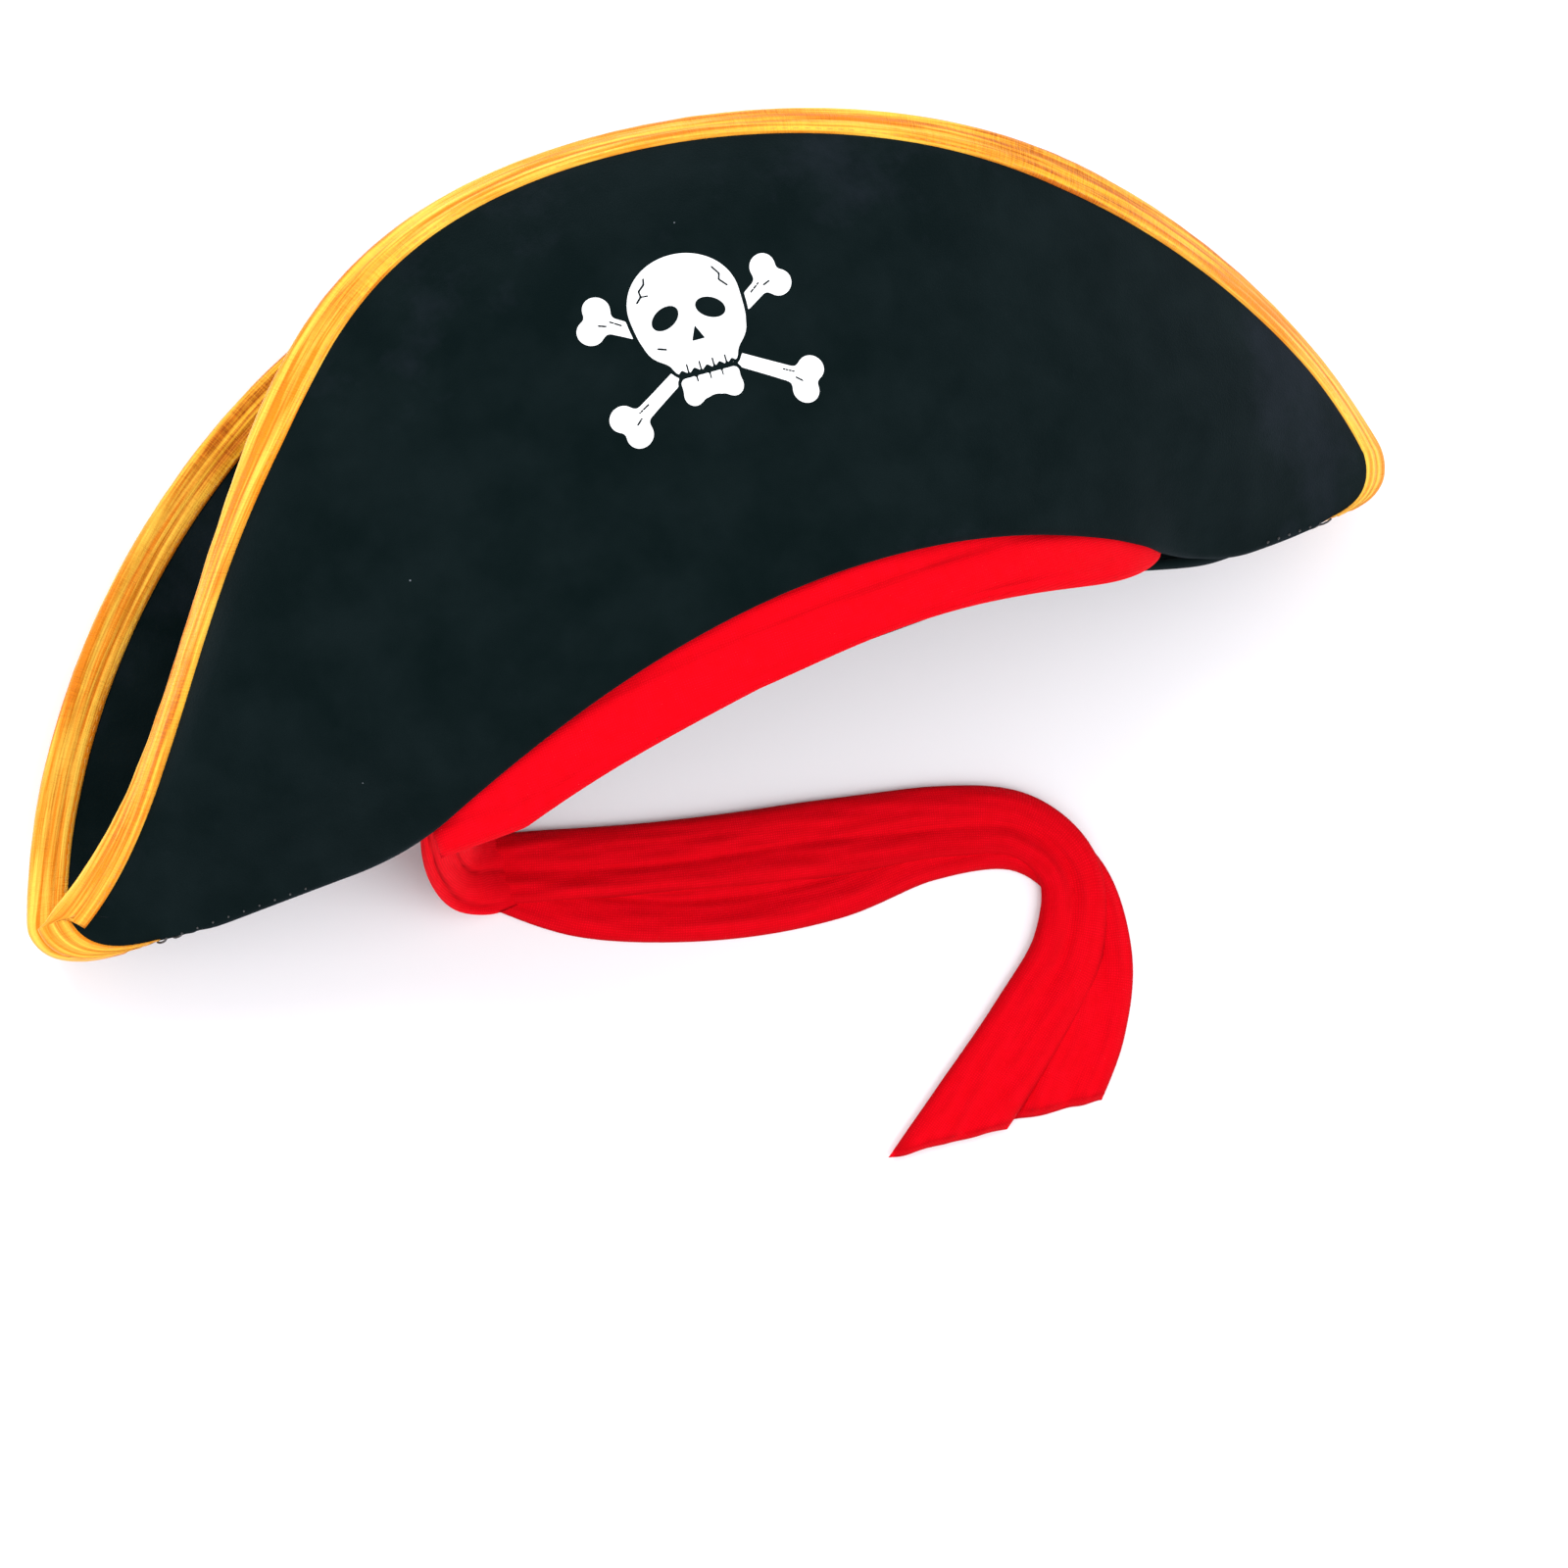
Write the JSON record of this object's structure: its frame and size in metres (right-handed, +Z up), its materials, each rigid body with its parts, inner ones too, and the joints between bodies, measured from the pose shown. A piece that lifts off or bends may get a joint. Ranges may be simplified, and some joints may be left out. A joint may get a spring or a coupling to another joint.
{
  "type": "pirate hat",
  "caption": "Black velvet pirate hat with turned-up front and back flaps, gold binding, printed skull and crossed bones and a red sash with loose tails.",
  "frame": {"origin": "on the table, at the middle of the hat's width and of its whole length with the tails, under the crown's mouth", "axes": "+Z up from the table towards the front flap, +Y the way the crown points, +X along the hat from tip to tip, the wearer's left"},
  "size_m": [0.4536, 0.3254, 0.14],
  "materials": {
    "velvet": "short pile",
    "foam": "open-cell foam sheet",
    "gold_binding": "satin",
    "lining": "plain weave",
    "sweatband": "ribbed tape",
    "label": "smooth ribbon",
    "print": "smooth ink",
    "sash": "fine knit",
    "black_thread": "twisted thread",
    "red_thread": "twisted thread"
  },
  "bodies": {
    "hat": {"front_flap_velvet": "velvet", "front_flap_foam": "foam", "front_flap_facing": "velvet", "front_flap_binding": "gold_binding", "back_flap_velvet": "velvet", "back_flap_foam": "foam", "back_flap_facing": "velvet", "back_flap_binding": "gold_binding", "crown_side_velvet": "velvet", "crown_side_foam": "foam", "crown_side_lining": "lining", "crown_top_velvet": "velvet", "crown_top_foam": "foam", "crown_top_lining": "lining", "sweatband": "sweatband", "care_label": "label", "skull_print": "print", "crossbones_print": "print", "sash_band": "sash", "sash_turn": "sash", "tip_stitches": "black_thread", "sash_stitches": "red_thread"},
    "upper_sash_tail": {"upper_tail": "sash"},
    "lower_sash_tail": {"lower_tail": "sash"}
  },
  "joints": [
    {"name": "upper_tail_swing", "type": "hinge", "parent": "hat", "child": "upper_sash_tail", "pos_m": [-0.088, -0.024, 0.0027], "axis": [0, 0, 1], "range_deg": [-70, 15]},
    {"name": "lower_tail_swing", "type": "hinge", "parent": "hat", "child": "lower_sash_tail", "pos_m": [-0.088, -0.024, 0.0008], "axis": [0, 0, 1], "range_deg": [-70, 15]}
  ]
}
